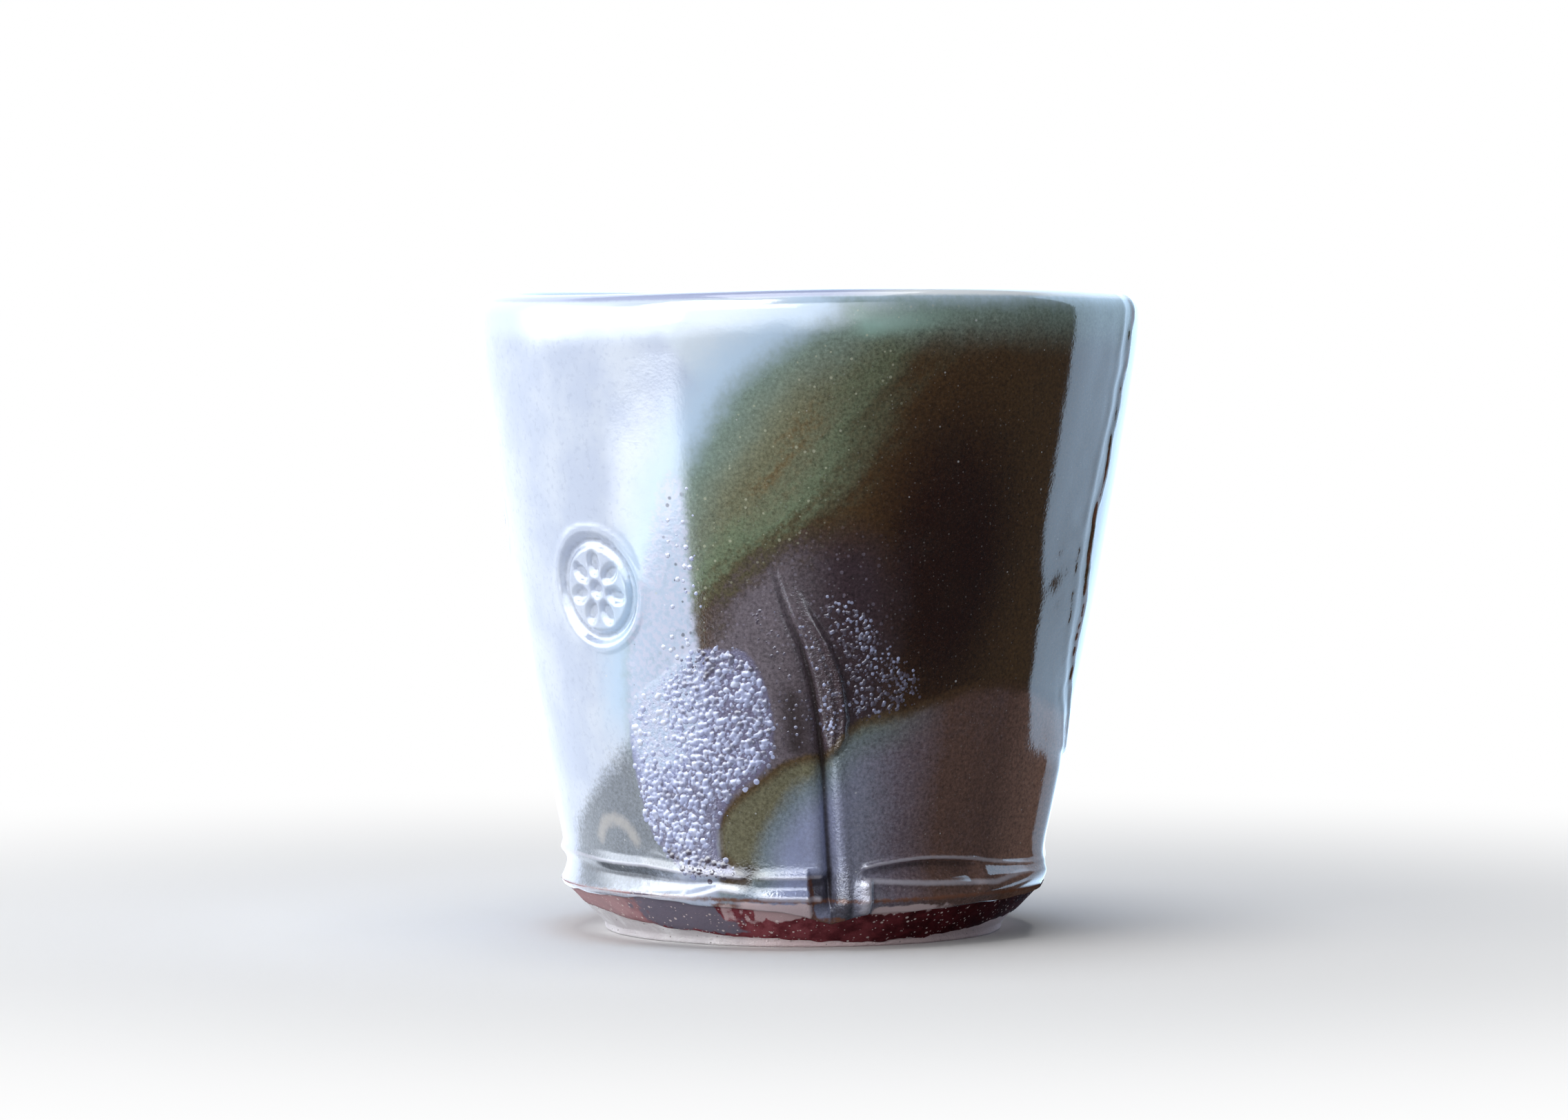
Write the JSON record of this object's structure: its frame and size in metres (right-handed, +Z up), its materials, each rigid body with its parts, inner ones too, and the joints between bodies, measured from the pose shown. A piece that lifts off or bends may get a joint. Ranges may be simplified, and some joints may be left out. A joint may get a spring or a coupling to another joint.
{
  "type": "pottery beaker",
  "caption": "Handleless hand-built pottery beaker: round tapered wall with a front dart and a lapped side seam, rolled bands and a bevelled base, glazed inside and out, for drinking.",
  "frame": {"origin": "centre of the flat underside of the foot", "axes": "+Z up along the beaker's axis, -Y towards the front, where the dart is, and +X to the right, where the lapped seam is"},
  "size_m": [0.09, 0.0902, 0.0864],
  "materials": {
    "bare_clay": "matt, unglazed fired stoneware",
    "pale_glaze": "gloss, pale lavender-blue over mauve-grey with fine white specks",
    "dark_glaze": "gloss, dark brown to olive green with a beaded lavender patch",
    "liner_glaze": "gloss, pale blue-grey",
    "red_wash": "thin satin red iron wash"
  },
  "bodies": {
    "root": {"base_slab": "bare_clay", "wall_slab": "bare_clay", "joint_coil": "bare_clay", "outer_glaze": "pale_glaze", "poured_glaze": "dark_glaze", "liner_glaze": "liner_glaze", "foot_wash": "red_wash"}
  },
  "joints": []
}
